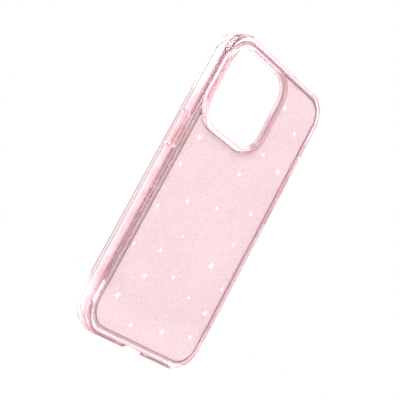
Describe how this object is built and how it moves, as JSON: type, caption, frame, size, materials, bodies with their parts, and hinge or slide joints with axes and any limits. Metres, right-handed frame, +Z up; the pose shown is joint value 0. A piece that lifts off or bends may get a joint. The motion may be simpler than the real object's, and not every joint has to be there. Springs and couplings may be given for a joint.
{
  "type": "phone case",
  "caption": "Clear pink glitter phone case: soft bumper, hard laminated back with foil stars, raised camera guard and press-through button caps.",
  "frame": {"origin": "centre of the bay that the handset fills, which is the handset's own centre", "axes": "+Z up the handset, towards the camera end; -Y out of the open front, where the screen is; +Y out of the back panel; +X to the right as seen from the front"},
  "size_m": [0.0764, 0.0129, 0.1516],
  "materials": {
    "bumper_tpu": "clear pink soft plastic, polished",
    "clear_panel": "clear pink hard plastic, polished",
    "foil": "bright metallised film",
    "glitter": "pale pink film with fine silver glitter",
    "skin_tpu": "clear pink, fine dot texture",
    "guard_tpu": "clear pink, polished"
  },
  "bodies": {
    "case": {"bumper_frame": "bumper_tpu", "back_panel": "clear_panel", "star_flakes": "foil", "glitter_film": "glitter", "inner_skin": "skin_tpu", "camera_guard": "guard_tpu"},
    "side_button_cap": {"side_button": "bumper_tpu"},
    "volume_up_cap": {"volume_up_button": "bumper_tpu"},
    "volume_down_cap": {"volume_down_button": "bumper_tpu"}
  },
  "joints": [
    {"name": "side_button_press", "type": "slide", "parent": "case", "child": "side_button_cap", "axis": [-1, 0, 0], "range_m": [0, 0.0004], "stiffness_N_per_m": 1200},
    {"name": "volume_up_press", "type": "slide", "parent": "case", "child": "volume_up_cap", "axis": [1, 0, 0], "range_m": [0, 0.0004], "stiffness_N_per_m": 1200},
    {"name": "volume_down_press", "type": "slide", "parent": "case", "child": "volume_down_cap", "axis": [1, 0, 0], "range_m": [0, 0.0004], "stiffness_N_per_m": 1200}
  ]
}
